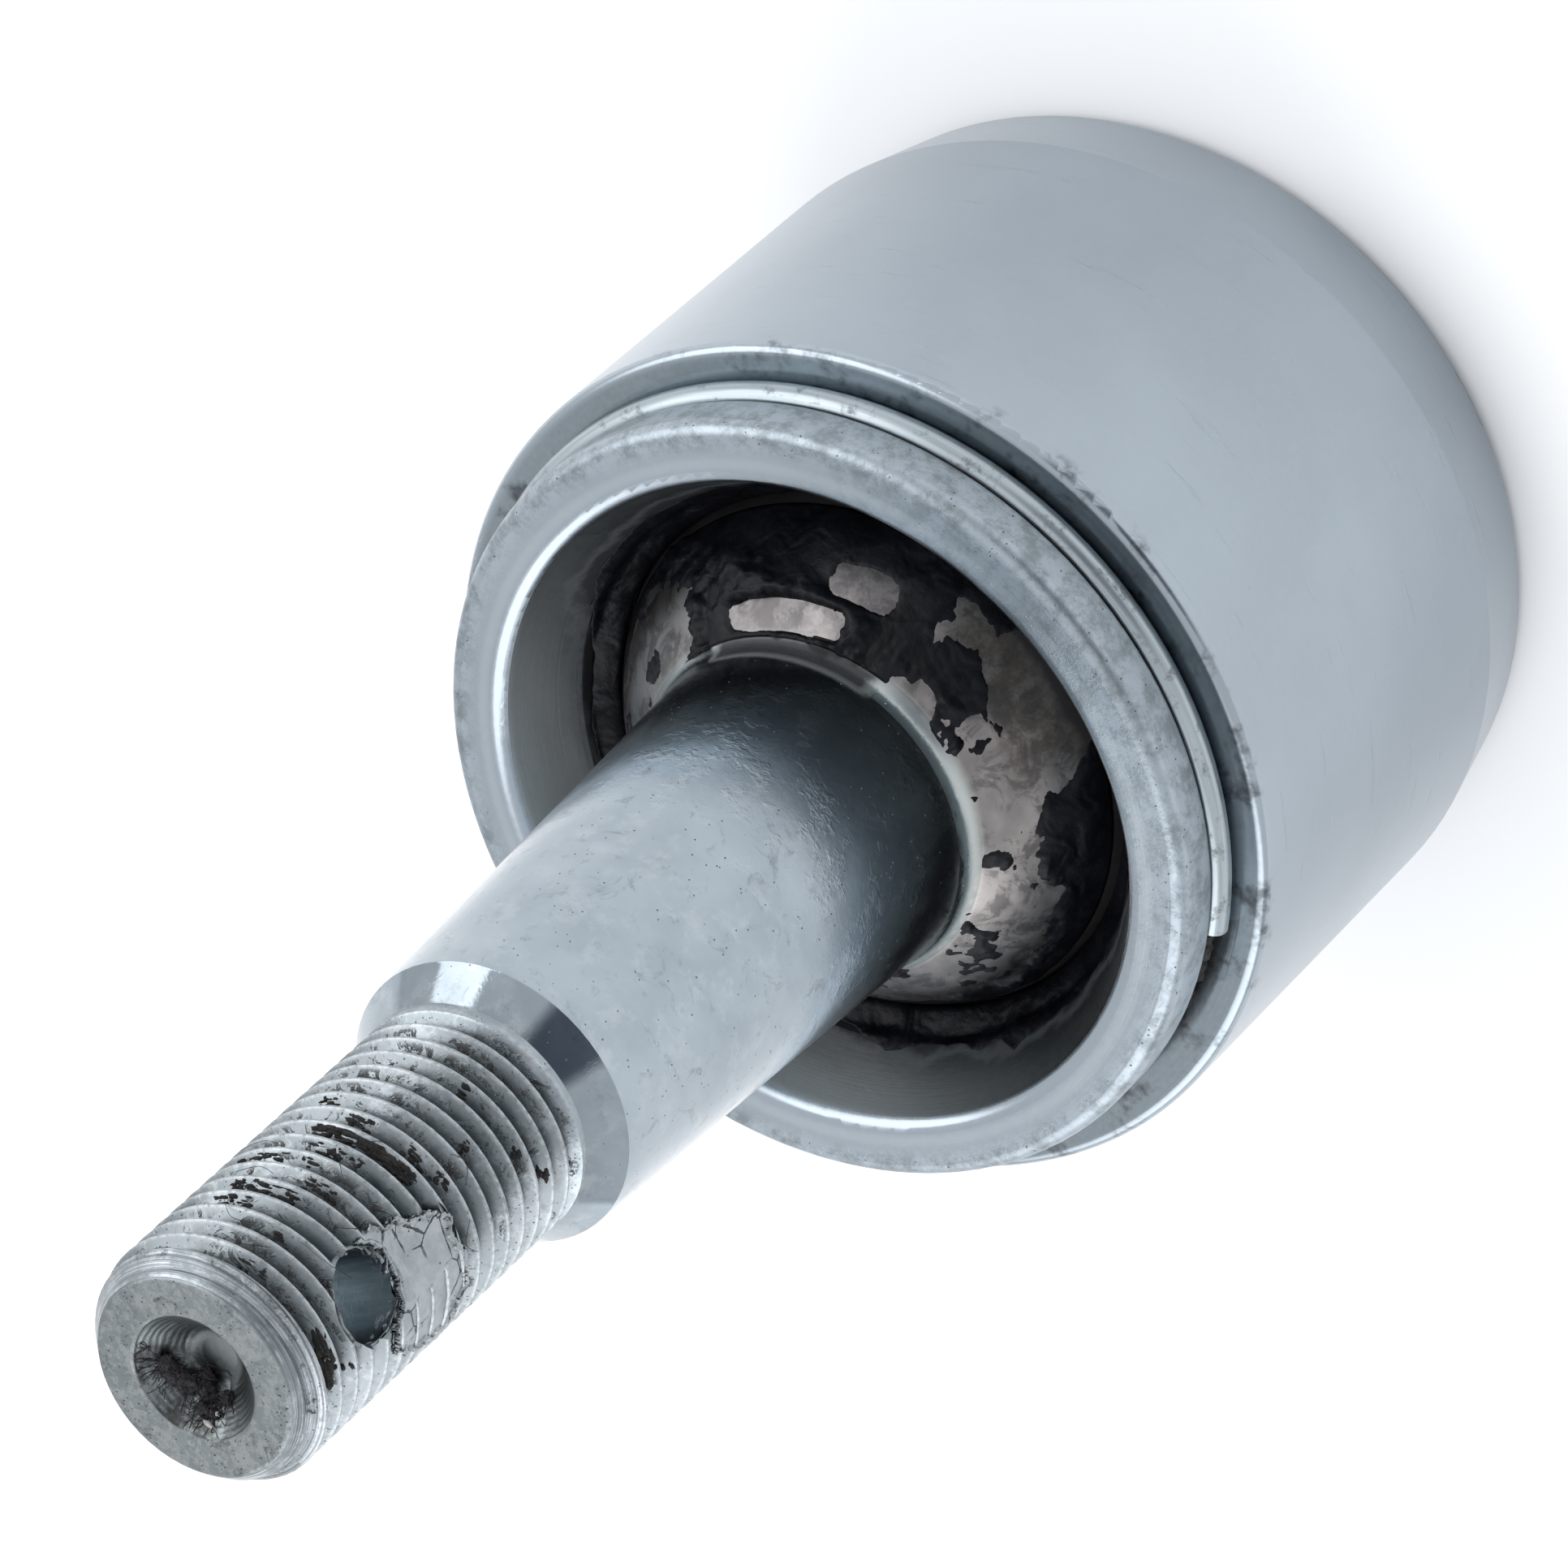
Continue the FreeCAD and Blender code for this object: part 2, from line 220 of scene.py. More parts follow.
def housing_zinc():
    """Satin plating: cloudy and faintly pored, worn on the lip with a painted highlight on its
    ridge, dark in the groove from painted shade and dirt, with painted shade inside the mouth.
    """
    f = Finish("housing_zinc")
    cloud, grain = f.noise(0.10, 2.0), f.noise(2.6, 4.0, 0.65)
    colour = cloud.rise(0.25, 0.75).mix(tint(0.315, 0.358, 0.398), tint(0.345, 0.392, 0.434))
    colour = (grain.rise(0.4, 0.8) * 0.2).mix(colour, tint(0.40, 0.44, 0.48))
    pores = f.specks(1.3, 0.08, 0.35)
    colour = (pores * 0.4).mix(colour, tint(0.17, 0.185, 0.20))
    scuff = f.noise(1.0, 5.0, 0.75, at=f.join(f.azimuth * 0.05, f.radius * 0.4, f.z * 1.8))
    scuff = scuff.rise(0.60, 0.72) * f.z.fall(SHOULDER_Z - 0.4, SHOULDER_Z + 0.1)
    colour = (scuff * 0.3).mix(colour, tint(0.22, 0.245, 0.27))

    # the lip: dull front edge, specks of dirt toward its rim and on its near side
    on_lip = f.z.rise(LIP_BOTTOM - 0.1, LIP_BOTTOM + 0.3)
    on_lip = on_lip * f.radius.rise(MOUTH_R - 0.2, MOUTH_R + 0.5)
    mottle = f.noise(0.8, 5.0, 0.75).rise(0.40, 0.66)
    near = f.azimuth.between(-150.0, -55.0, 14.0)
    rim = on_lip * f.radius.rise(LIP_R - 1.7, LIP_R - 0.7).greatest(near * 0.75)
    colour = (rim * mottle * 0.7).mix(colour, tint(0.150, 0.175, 0.185))
    grime = f.specks(2.4, 0.15, 0.5) * rim
    colour = (grime * 0.8).mix(colour, tint(0.045, 0.048, 0.05))
    # painted highlight: a lighter ring along the lip's ridge
    ridge_highlight = on_lip * f.radius.between(LIP_RIDGE_R - 0.25, LIP_RIDGE_R + 0.25, 0.2)
    colour = (ridge_highlight * 0.35).mix(colour, tint(0.45, 0.50, 0.53))

    # the boot groove and the shoulder behind it: darker colour that is partly painted shade of
    # the recess and partly dirt, then soot
    groove = f.z.between(SHOULDER_Z - 0.2, LIP_BOTTOM + 0.05, 0.12)
    groove = groove * f.radius.fall(BODY_R - 0.7, BODY_R - 0.1)
    groove = groove * f.radius.rise(GROOVE_R - 0.55, GROOVE_R - 0.15)
    # painted shade of the recess, mixed with dirt by the grain
    colour = (groove * (0.25 + grain * 0.35)).mix(colour, tint(0.075, 0.095, 0.10))
    soot = f.noise(0.35, 4.0, 0.65).rise(0.52, 0.68)
    soot = soot * f.z.between(SHOULDER_Z - 0.9, LIP_BOTTOM, 0.5)
    soot = soot * f.radius.rise(GROOVE_R - 0.35, GROOVE_R + 0.05)
    colour = (soot * 0.75).mix(colour, tint(0.035, 0.037, 0.038))

    # inside of the mouth: painted shade over all of it, and oil toward the throat
    inside = f.z.between(FLANGE_Z - 0.3, LIP_TOP - 0.5, 0.35)
    inside = inside * f.radius.fall(MOUTH_R - 0.2, MOUTH_R + 0.2)
    # painted shade: the whole inside of the mouth is darkened
    colour = (inside * 0.75).mix(colour, tint(0.200, 0.222, 0.228))
    smear = f.noise(0.40, 4.0, 0.6)
    back_side = f.azimuth.fall(-150.0, -140.0).greatest(f.azimuth.rise(120.0, 150.0))
    front_side = f.azimuth.between(-45.0, 25.0, 12.0)
    reach_up = back_side * 0.7 + front_side * 1.5
    oil = inside * (f.z + smear * 3.0 - reach_up).fall(THROAT_Z + 0.9, THROAT_Z + 2.2)
    colour = (oil * 0.95).mix(colour, tint(0.008, 0.009, 0.011))
    lines = f.rings(f.z + f.radius * 0.7, 7.0)
    roughness = 0.17 + grain * 0.09 + rim * 0.16 + lines * 0.05 + scuff * 0.08 + inside * 0.1
    roughness = roughness + oil * 0.15
    height = lines * 0.5 + grain * 0.5 - pores * 1.0 - grime * 1.4 + mottle * rim * 0.8
    return f.close(colour, roughness, 1.0 - oil * 0.9, f.bump(height, 0.010))


def wire_steel():
    """Drawn wire of the boot's ring, dirty in patches."""
    f = Finish("wire_steel")
    drawn = f.noise(1.0, 3.0, at=f.join(f.azimuth * 0.05, f.radius * 6.0, f.z * 6.0))
    colour = drawn.rise(0.3, 0.75).mix(tint(0.30, 0.345, 0.37), tint(0.40, 0.445, 0.475))
    dirt = f.noise(0.7, 5.0, 0.75).rise(0.53, 0.68)
    colour = (dirt * 0.6).mix(colour, tint(0.09, 0.10, 0.10))
    return f.close(colour, 0.34 + dirt * 0.2, 1.0, f.bump(drawn, 0.01))


def stud_zinc():
    """The whole stud: bare ball, mottled shank, tool-marked shoulder and tip, dirty thread with
    painted shade in its roots, and a painted highlight on the neck's fillet.
    """
    f = Finish("stud_zinc")
    cloud, grain = f.noise(0.25, 3.0, 0.6), f.noise(3.2, 5.0, 0.7)
    outer = f.z.rise(SHANK_TOP, SHANK_TOP + 4.0)
    shank = cloud.rise(0.3, 0.7).mix(tint(0.285, 0.330, 0.365), tint(0.345, 0.392, 0.428))
    end = cloud.rise(0.3, 0.7).mix(tint(0.165, 0.188, 0.200), tint(0.235, 0.260, 0.274))
    colour = outer.mix(shank, end)
    patch = f.noise(0.55, 5.0, 0.72).rise(0.5, 0.66)
    colour = (patch * 0.4).mix(colour, tint(0.43, 0.465, 0.49))
    stain = f.noise(0.7, 5.0, 0.75, 0.8).rise(0.55, 0.70)
    colour = (stain * 0.45).mix(colour, tint(0.155, 0.18, 0.20))
    freckle = f.specks(2.2, 0.11, 0.50)
    colour = (freckle * 0.8).mix(colour, tint(0.055, 0.06, 0.065))

    # tool marks on the shoulder cone and on the tip's chamfer
    shoulder = f.z.between(SHANK_TOP, THREAD_BOTTOM, 0.08)
    chamfer = f.z.between(TIP_Z - 1.45, TIP_Z - 0.08, 0.06)
    chamfer = chamfer * f.radius.rise(TIP_FACE_R - 0.2, TIP_FACE_R)
    tool = f.noise(1.0, 3.0, 0.7, at=f.join(f.radius * 9.0, f.azimuth * 0.002, 1.0))
    worn_edge = chamfer * tool.rise(0.45, 0.6) * f.noise(0.7, 4.0, 0.7).rise(0.4, 0.6)
    colour = (worn_edge * 0.7).mix(colour, tint(0.55, 0.58, 0.61))
    colour = (chamfer * tool.fall(0.36, 0.48) * 0.7).mix(colour, tint(0.10, 0.115, 0.125))
    smooth_cone = shoulder * f.noise(0.25, 2.0).rise(0.45, 0.6)
    colour = (smooth_cone * 0.5).mix(colour, tint(0.20, 0.235, 0.27))

    # thread: painted shade in the roots, packed dirt in patches, worn crests
    threaded = f.z.between(THREAD_BOTTOM + 0.3, TIP_Z - 0.9, 0.2)
    threaded = threaded * f.radius.rise(TIP_FACE_R - 0.6, TIP_FACE_R)
    # painted shade: the thread's roots are darkened
    root_shade = f.radius.fall(ROOT_R, ROOT_R + 0.3)
    colour = (threaded * root_shade * 0.6).mix(colour, tint(0.10, 0.12, 0.125))
    grey_film = f.noise(0.5, 5.0, 0.8).rise(0.46, 0.66)
    grey_film = grey_film * f.radius.fall(THREAD_R - 0.35, THREAD_R - 0.02)
    colour = (threaded * grey_film * 0.6).mix(colour, tint(0.115, 0.125, 0.125))
    bits = f.specks(3.2, 0.16, 0.6) * threaded
    colour = (bits * 0.8).mix(colour, tint(0.035, 0.035, 0.036))
    dirty_side = f.azimuth.between(-118.0, 20.0, 25.0) * 0.07
    packed = (f.noise(0.45, 5.0, 0.8, 0.8) + dirty_side).rise(0.585, 0.635)
    crumbs = f.noise(1.7, 6.0, 0.85).rise(0.44, 0.54)
    dirt = threaded * f.radius.fall(THREAD_R - 0.5, THREAD_R - 0.07) * packed * crumbs
    colour = (dirt * 0.95).mix(colour, tint(0.022, 0.020, 0.020))
    worn = threaded * f.radius.rise(THREAD_R - 0.14, THREAD_R - 0.02)
    colour = (worn * grain.rise(0.35, 0.6) * 0.6).mix(colour, tint(0.42, 0.45, 0.47))

    # end face and its centre recess
    face = f.z.rise(TIP_Z - 0.1, TIP_Z - 0.04)
    face = face * f.radius.fall(TIP_FACE_R - 0.1, TIP_FACE_R + 0.1)
    colour = (face * 0.75).mix(colour, tint(0.180, 0.200, 0.206))
    blotch = f.noise(1.4, 6.0, 0.8).rise(0.45, 0.60)
    colour = (face * blotch * 0.6).mix(colour, tint(0.30, 0.315, 0.315))
    dust = f.noise(0.9, 6.0, 0.8, 1.0).rise(0.55, 0.66)
    colour = (face * dust * 0.75).mix(colour, tint(0.075, 0.078, 0.078))
    pits = f.specks(3.4, 0.17, 0.55) * face
    colour = (pits * 0.9).mix(colour, tint(0.02, 0.021, 0.022))
    recess = f.z.between(TIP_Z - RECESS_DEPTH - 0.3, TIP_Z - 0.05, 0.05)
    recess = recess * f.radius.fall(RECESS_R - 0.1, RECESS_R + 0.05)
    curve = f.join(f.x * 0.9 + 1.4, f.y * 0.9 - 0.8, f.z * 1.5)
    spun = f.wire.node(
        "TexWave",
        {"wave_type": "RINGS"},
        {"Vector": curve, "Scale": 0.9, "Distortion": 3.0, "Detail": 3.0},
        output="Fac",
    )
    colour = (recess * 0.7).mix(colour, tint(0.215, 0.238, 0.24))
    grime = f.noise(0.75, 5.0, 0.7).rise(0.42, 0.60) * recess
    far_side = (f.y - f.x * 0.25).rise(-0.2, 1.6)
    colour = (grime * far_side * 0.85).mix(colour, tint(0.045, 0.044, 0.044))

    # split-pin hole
    turn = math.radians(PIN_HOLE_SIDE)
    side = f.x * -math.sin(turn) + f.y * math.cos(turn)
    rise = f.z - PIN_HOLE_Z
    off_axis = (side * side + rise * rise).root()
    bore = off_axis.fall(PIN_HOLE_R + 0.05, PIN_HOLE_R + 0.12)
    bore = bore * f.radius.fall(ROOT_R, ROOT_R + 0.3)
    streak = f.noise(1.0, 3.0, at=f.join(side * 3.0, rise * 0.6, f.radius * 0.4))
    bore_colour = streak.rise(0.3, 0.7).mix(tint(0.32, 0.37, 0.40), tint(0.46, 0.51, 0.54))
    colour = bore.mix(colour, bore_colour)

    # bare ball with a brown smear and an oily foot, and a painted highlight on the fillet at the
    # shank's foot
    upward = f.z / f.reach
    polar = upward.math("ARCCOSINE", upward) * math.degrees(1.0)
    ball = f.reach.fall(BALL_R + 0.04, BALL_R + 0.3)
    ball = ball * f.z.fall(BALL_TOP + 0.2, BALL_TOP + 0.6)
    bare = f.noise(0.35, 3.0, 0.6).rise(0.3, 0.7).mix(
        tint(0.19, 0.182, 0.18), tint(0.32, 0.30, 0.295)
    )
    colour = ball.mix(colour, bare)
    wander = f.noise(0.4, 5.0, 0.7) * 20.0 - 10.0
    brown = (f.azimuth + wander).between(-121.0, -80.0, 6.0)
    brown = brown * (polar + wander * 0.6).rise(43.0, 49.0)
    smear = f.noise(1.0, 5.0, 0.75).rise(0.34, 0.6)
    colour = (ball * brown * (0.55 + smear * 0.4)).mix(colour, tint(0.075, 0.066, 0.056))
    film = ball * f.noise(0.6, 5.0, 0.7, 0.5).rise(0.46, 0.60) * polar.rise(34.0, 42.0)
    colour = (film * 0.65).mix(colour, tint(0.05, 0.048, 0.05))
    wiped = ball * f.azimuth.between(-74.0, -14.0, 4.0) * (0.35 + smear * 0.3)
    colour = wiped.mix(colour, tint(0.085, 0.08, 0.084))
    under = ball * (polar + wander * 0.3).rise(56.0, 60.0)
    colour = (under * 0.95).mix(colour, tint(0.01, 0.01, 0.012))
    fillet = f.z.between(BALL_TOP - 0.35, BALL_TOP + 1.1, 0.25)
    fillet = fillet * f.radius.rise(NECK_R - 0.4, NECK_R)
    # painted highlight: the fillet at the shank's foot is made much lighter
    colour = (fillet * 0.8).mix(colour, tint(0.56, 0.61, 0.60))
    greased_neck = fillet * (f.azimuth + wander * 0.5).between(-74.0, -16.0, 3.0)
    greased_neck = greased_neck * f.z.fall(BALL_TOP + 0.5, BALL_TOP + 1.2)
    colour = (greased_neck * 0.95).mix(colour, tint(0.012, 0.012, 0.014))

    roughness = 0.13 + grain * 0.09 + stain * 0.08 + outer * 0.13 + dirt * 0.3 + face * 0.12
    roughness = roughness + ball * 0.16 - shoulder * 0.12 + recess * 0.06 + under * 0.2
    height = grain * (0.25 + outer * 0.4) + patch * 0.35 - freckle * 1.2
    height = height - pits * 1.6 + blotch * face * 0.9
    height = height * (1 - ball) * (1 - shoulder * 0.7) + chamfer * tool * 3.2
    height = height + recess * spun * 0.5 + dirt * 3.0
    metal = 1.0 - dirt * 0.9 - ball * brown * 0.3 - under * 0.9 - greased_neck * 0.9
    return f.close(colour, roughness, metal, f.bump(height, 0.016))


def race_steel():
    """Turned and hardened steel of the races and the spring."""
    f = Finish("race_steel")
    lines = f.rings(f.z + f.radius, 5.0)
    colour = lines.rise(0.3, 0.7).mix(tint(0.30, 0.30, 0.31), tint(0.42, 0.42, 0.43))
    return f.close(colour, 0.28 + lines * 0.1, 1.0, f.bump(lines, 0.01))


def black_grease():
    """Thick molybdenum grease: nearly black with a soft wet sheen."""
    f = Finish("black_grease")
    drag, fine = f.noise(0.55, 2.0, 0.5, 0.4), f.noise(3.0, 4.0, 0.65)
    colour = drag.rise(0.35, 0.75).mix(tint(0.002, 0.0022, 0.0035), tint(0.007, 0.0075, 0.011))
    roughness = 0.30 + fine * 0.22
    normal = f.bump(drag + fine * 0.10, 0.35)
    return f.close(colour, roughness, 0.0, normal, {"Specular IOR Level": 0.16})


def packed_dirt():
    """Dry black dirt, lumpy and dull."""
    f = Finish("packed_dirt")
    lump, fine = f.noise(1.8, 4.0, 0.7), f.noise(7.0, 4.0, 0.7)
    colour = lump.rise(0.35, 0.7).mix(tint(0.006, 0.006, 0.006), tint(0.030, 0.028, 0.026))
    return f.close(colour, 0.7 + fine * 0.2, 0.0, f.bump(lump + fine, 0.12))


def dark_fluff():
    """Dark lint with hardly any shine."""
    f = Finish("dark_fluff")
    fine = f.noise(9.0, 4.0, 0.7)
    colour = fine.rise(0.3, 0.7).mix(tint(0.010, 0.009, 0.011), tint(0.045, 0.040, 0.044))
    return f.close(colour, 0.85 + fine * 0.1, 0.0, f.bump(fine, 0.15))


def pale_flake():
    """Flakes of pale plating."""
    f = Finish("pale_flake")
    fine = f.noise(5.0, 4.0, 0.7)
    colour = fine.rise(0.3, 0.7).mix(tint(0.30, 0.30, 0.29), tint(0.52, 0.52, 0.50))
    return f.close(colour, 0.5 + fine * 0.2, 0.2, f.bump(fine, 0.05))


def dress(node, material):
    """Gives a CAD node its one material."""
    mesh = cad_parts[node].data
    mesh.materials.clear()
    mesh.materials.append(material)


zinc, grease, dirt_paint, fluff = housing_zinc(), black_grease(), packed_dirt(), dark_fluff()
steel = race_steel()
dress("housing", zinc)
dress("end_plug", zinc)
dress("boot_ring", wire_steel())
dress("ball_stud", stud_zinc())
for name in ("upper_race", "lower_race", "preload_spring"):
    dress(name, steel)
for name in ("grease_collar", "grease_pocket"):
    dress(name, grease)


def deselect():
    bpy.ops.object.select_all(action="DESELECT")


def begin(name):
    """Names the active object, which becomes a piece."""
    piece = bpy.context.object
    piece.name = piece.data.name = name
    return piece


def sculpt(piece, move):
    """Moves each vertex by hand: move takes and gives a point in millimetres."""
    for vertex in piece.data.vertices:
        vertex.co = move(vertex.co / MM) * MM
    piece.data.update()


def put_away(piece, choose):
    """Deletes the faces whose middle, in millimetres, is chosen."""
    bpy.context.tool_settings.mesh_select_mode = (False, False, True)
    bpy.ops.object.mode_set(mode="EDIT")
    bpy.ops.mesh.select_all(action="DESELECT")
    bpy.ops.object.mode_set(mode="OBJECT")
    for face in piece.data.polygons:
        face.select = bool(choose(face.center / MM))
    bpy.ops.object.mode_set(mode="EDIT")
    bpy.ops.mesh.delete(type="FACE")
    bpy.ops.object.mode_set(mode="OBJECT")


def turn_outward():
    """Makes all faces of the active piece point outwards."""
    bpy.ops.object.mode_set(mode="EDIT")
    bpy.ops.mesh.select_all(action="SELECT")
    bpy.ops.mesh.normals_make_consistent(inside=False)
    bpy.ops.object.mode_set(mode="OBJECT")


def apply_modifier(piece, kind, **settings):
    made = piece.modifiers.new(kind.lower(), kind)
    for name, value in settings.items():
        setattr(made, name, value)
    bpy.ops.object.modifier_apply(modifier=made.name)


def finish_piece(piece, body, material):
    """Puts the piece's place in its mesh, smooths it, dresses it and ties it to its body."""
    bpy.ops.object.transform_apply(location=True, rotation=True, scale=True)
    bpy.ops.object.shade_smooth()
    piece.data.materials.clear()
    piece.data.materials.append(material)
    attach(piece, body)
    deselect()
    return piece


def wobble(point, scale, seed=0.0):
    """Smooth noise from about -1 to 1 at a point in millimetres."""
    return noise.fractal(point * scale + Vector((seed, seed * 0.7, -seed)), 0.8, 2.1, 4)


def swell(value, middle, half):
    """1 at the middle of a range, falling smoothly to 0 at its ends."""
    t = max(0.0, 1.0 - ((value - middle) / half) ** 2)
    return t * t * (3 - 2 * t)


def polar_of(point):
    """Degrees between a point and the stud's axis, seen from the ball's centre."""
    return math.degrees(math.acos(max(-1.0, min(1.0, point.z / point.length))))


def azimuth_of(point):
    """Degrees about +Z from +X, from -240 to 120, so that the front is in one piece."""
    turn = math.degrees(math.atan2(point.y, point.x))
    return turn - 360 if turn > 120 else turn


# Smears (above 0) and wiped windows (below 0) of the grease on the ball: amount, azimuth and its
# half width, degrees from the stud's axis and their half width.
GREASE_MARKS = (
    (-2.6, -40.0, 25.0, 41.0, 4.4),
    (-2.2, -57.0, 13.0, 49.5, 5.0),
    (1.5, -90.0, 11.0, 46.5, 6.5),
    (1.2, -138.0, 15.0, 55.5, 8.0),
    (-2.6, -106.0, 18.0, 57.0, 10.0),
)


def grease_cover(point):
    """How much grease lies on the ball here: above 0 covered, below 0 bare."""
    polar, around = polar_of(point), azimuth_of(point)
    back_side = swell(around, -185.0, 55.0)
    cover = (polar - 57.0 + 3.5 * back_side) / 4.5
    # heavy smear on the +X side of the stud's front
    cover = max(cover, 1.7 * swell(around, -43.0, 42.0) * swell(polar, 50.0, 26.0) - 0.25)
    for amount, side, side_half, lean, lean_half in GREASE_MARKS:
        cover += amount * swell(around, side, side_half) * swell(polar, lean, lean_half)
    cover += 0.50 * wobble(point, 0.42, 3.0) + 0.22 * wobble(point, 1.3, 9.0)
    return cover


def grease_height(point):
    """Thickness of the grease on the ball in mm; thin where a tilt takes it under the race."""
    cover = grease_cover(point)
    if cover <= 0:
        return max(-GREASE_SINK, cover * 0.3)
    direction = point.normalized()
    tilt = math.radians(STUD_TILT)
    dipped = direction.z * math.cos(tilt) - abs(direction.y) * math.sin(tilt)
    room = max(0.0, min(1.0, (SEAT_EDGE - math.degrees(math.acos(dipped))) / 6.0))
    lumps = 0.45 + 1.2 * wobble(point, 0.34, 5.0) + 0.35 * wobble(point, 1.0, 2.0)
    heap = room * GREASE_HEAP * max(0.08, min(1.0, lumps))
    return (GREASE_FILM + heap) * min(1.0, cover * 1.6)


def make_ball_grease():
    """Grease smeared over the ball: islands raised from the ball's surface."""
    deselect()
    bpy.ops.mesh.primitive_uv_sphere_add(segments=560, ring_count=280, radius=BALL_R * MM)
    piece = begin("ball_grease")
    put_away(piece, lambda p: not GREASE_TOP < polar_of(p) < GREASE_FOOT)
    sculpt(piece, lambda p: p * ((BALL_R + grease_height(p)) / p.length))
    put_away(piece, lambda p: p.length < BALL_R - ISLAND_EDGE)
    apply_modifier(piece, "SOLIDIFY", thickness=0.16 * MM, offset=-1.0)
    return finish_piece(piece, "stud", grease)


def collar_climb(around):
    """How far the grease climbs out of the throat onto the cone, in mm, by azimuth."""
    climb = 0.7 + 2.3 * swell(around, -8.0, 44.0) + 2.0 * swell(around, -185.0, 62.0)
    return climb + 0.5 * swell(around, 60.0, 30.0)


def cone_radius(level):
    """Radius of the housing's throat and mouth at a level."""
    if level < THROAT_Z:
        return THROAT_R
    return THROAT_R + (level - THROAT_Z) * (MOUTH_R - THROAT_R) / (LIP_TOP - THROAT_Z)


def make_mouth_grease():
    """Ring of grease between ball and throat, pushed up the cone in lumps."""
    deselect()
    bpy.ops.mesh.primitive_torus_add(
        major_radius=COLLAR_R * MM, minor_radius=COLLAR_HALF * MM, major_segments=480,
        minor_segments=56, location=(0, 0, COLLAR_Z * MM),
    )
    piece = begin("mouth_grease")
    bpy.ops.object.transform_apply(location=True, rotation=False, scale=False)

    def press(point):
        """Fills the gap: an outline from the flange up the ball, over and down the cone."""
        ring = math.hypot(point.x, point.y)
        angle = math.atan2(point.z - COLLAR_Z, ring - COLLAR_R)
        middle = Vector((point.x / ring * COLLAR_R, point.y / ring * COLLAR_R, 0.0))
        lumps = wobble(middle, 0.30, 12.0) + 0.35 * wobble(middle, 0.9, 21.0)
        climb = collar_climb(azimuth_of(point)) * (1.0 + 0.3 * lumps)
        up, out = math.sin(angle), math.cos(angle)
        top = 6.7 + 0.2 * lumps + climb * (0.5 + 0.5 * out)
        level = COLLAR_FOOT + (up * 0.5 + 0.5) * (top - COLLAR_FOOT)
        wall = cone_radius(level)
        inner = math.sqrt((BALL_R + COLLAR_GAP) ** 2 - min(level, 12.0) ** 2)
        thick = 0.45 + 0.25 * lumps - 0.08 * (level - 6.8)
        over = max(0.0, min(1.0, (level - 6.5) / 0.9))
        inner = inner + (max(inner, wall - max(0.15, thick)) - inner) * over
        radius = inner + (wall + 0.05 - inner) * (out * 0.5 + 0.5)
        return Vector((point.x / ring * radius, point.y / ring * radius, level))

    sculpt(piece, press)
    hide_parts("grease_collar")
    return finish_piece(piece, "cartridge", grease)


def ring_point(radius, azimuth, level):
    turn = math.radians(azimuth)
    return Vector((radius * math.cos(turn), radius * math.sin(turn), level))


def make_lumps(name, lumps, subdivisions=3):
    """Ragged lumps from one icosphere. Each is (centre, three half lengths, turn, seed)."""
    deselect()
    bpy.ops.mesh.primitive_ico_sphere_add(subdivisions=subdivisions, radius=MM)
    first = bpy.context.object
    parts = [first]
    for _ in lumps[1:]:
        copy = first.copy()
        copy.data = first.data.copy()
        bpy.context.scene.collection.objects.link(copy)
        parts.append(copy)
    for part, (centre, size, turn, seed) in zip(parts, lumps):
        spin = Matrix.Rotation(math.radians(turn), 3, "Z")

        def pull(point):
            way = point.normalized()
            push = 1.0 + 0.5 * wobble(way, 1.3, seed) + 0.2 * wobble(way, 4.0, seed)
            return spin @ Vector([way[k] * size[k] * push for k in range(3)]) + Vector(centre)

        sculpt(part, pull)
    for part in parts:
        part.select_set(True)
    bpy.context.view_layer.objects.active = first
    bpy.ops.object.join()
    return begin(name)


def make_fibres(name, paths):
    """Lint: each path is its points and its thickness, all joined in one thin tube mesh."""
    data = bpy.data.curves.new(name, "CURVE")
    data.dimensions, data.bevel_depth, data.bevel_resolution = "3D", MM, 1
    data.use_fill_caps, data.resolution_u = True, 4
    for points, thickness in paths:
        spline = data.splines.new("NURBS")
        spline.points.add(len(points) - 1)
        for place, point in zip(spline.points, points):
            place.co, place.radius = (*(Vector(point) * MM), 1.0), thickness
        spline.order_u, spline.use_endpoint_u = 4, True
    fibres = bpy.data.objects.new(name, data)
    bpy.context.scene.collection.objects.link(fibres)
    deselect()
    fibres.select_set(True)
    bpy.context.view_layer.objects.active = fibres
    bpy.ops.object.convert(target="MESH")
    return begin(name)


def make_groove_dirt():
    """Dirt in the boot groove past the wire's cut end."""
    lumps = [
        (-150.0, 8.6, (0.6, 1.1, 0.65)), (-155.5, 8.5, (0.5, 0.8, 0.5)),
        (-161.0, 8.4, (0.45, 0.9, 0.45)), (-167.0, 8.35, (0.45, 0.7, 0.45)),
        (-173.0, 8.3, (0.3, 0.6, 0.35)), (-12.0, 8.2, (0.3, 0.8, 0.25)),
    ]
    piece = make_lumps("groove_dirt", [
        (ring_point(19.35, around, level), size, around, 4.0 + k)
        for k, (around, level, size) in enumerate(lumps)
    ])
    return finish_piece(piece, "cartridge", dirt_paint)


def root_near(azimuth, level):
    """Level of the thread's root nearest to a level, at an azimuth."""
    start = FIRST_ROOT + PITCH * (azimuth - THREAD_START) / 360.0
    return start + PITCH * round((level - start) / PITCH)


